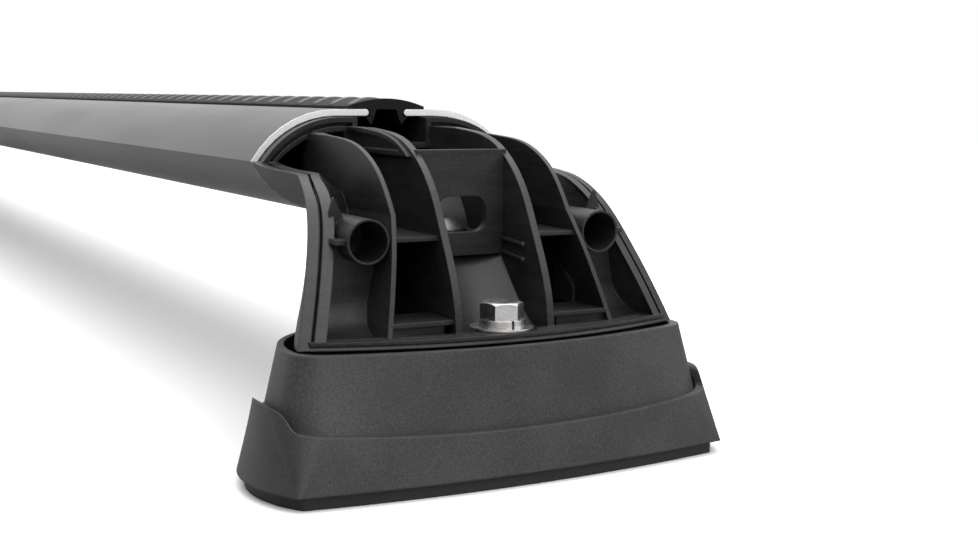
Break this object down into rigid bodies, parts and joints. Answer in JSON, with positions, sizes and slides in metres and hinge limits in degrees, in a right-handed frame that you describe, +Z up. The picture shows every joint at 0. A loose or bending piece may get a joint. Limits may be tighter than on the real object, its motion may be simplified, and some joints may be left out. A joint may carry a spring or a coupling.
{
  "type": "roof rack crossbar",
  "caption": "Aerofoil roof rack crossbar on bolt-down plastic legs with rubber strip; one leg is open to show its ribs and bolt, the other has its pull-off cover on.",
  "frame": {"origin": "midway between the two mounting bolts, on the undersides of the gaskets", "axes": "+X along the bar towards the open leg, +Y across the bar, +Z up from the roof"},
  "size_m": [1.1766, 0.1334, 0.1085],
  "materials": {
    "bar": "dark satin powder coat",
    "strip": "black ridged rubber",
    "leg": "black glass-filled nylon",
    "foot": "charcoal grained plastic",
    "gasket": "brown-black rubber",
    "plated": "bright zinc plating",
    "steel": "dark phosphated steel"
  },
  "bodies": {
    "rack": {"bar": "bar", "top_strip": "strip", "near_leg": "leg", "near_skirt": "foot", "near_base_pad": "foot", "near_gasket": "gasket", "near_mount_bolt": "plated", "near_spring_washer": "plated", "near_flat_washer": "plated", "near_bolt_sleeve": "steel", "near_leg_screw": "steel", "near_leg_nut": "steel", "near_spigot_screws": "steel", "far_leg": "leg", "far_skirt": "foot", "far_base_pad": "foot", "far_gasket": "gasket", "far_mount_bolt": "plated", "far_spring_washer": "plated", "far_flat_washer": "plated", "far_bolt_sleeve": "steel", "far_leg_screw": "steel", "far_leg_nut": "steel", "far_spigot_screws": "steel"},
    "cover": {"far_cover": "foot"}
  },
  "joints": [
    {"name": "far_cover_slide", "type": "slide", "parent": "rack", "child": "cover", "axis": [-1, 0, 0], "range_m": [0, 0.012]}
  ]
}
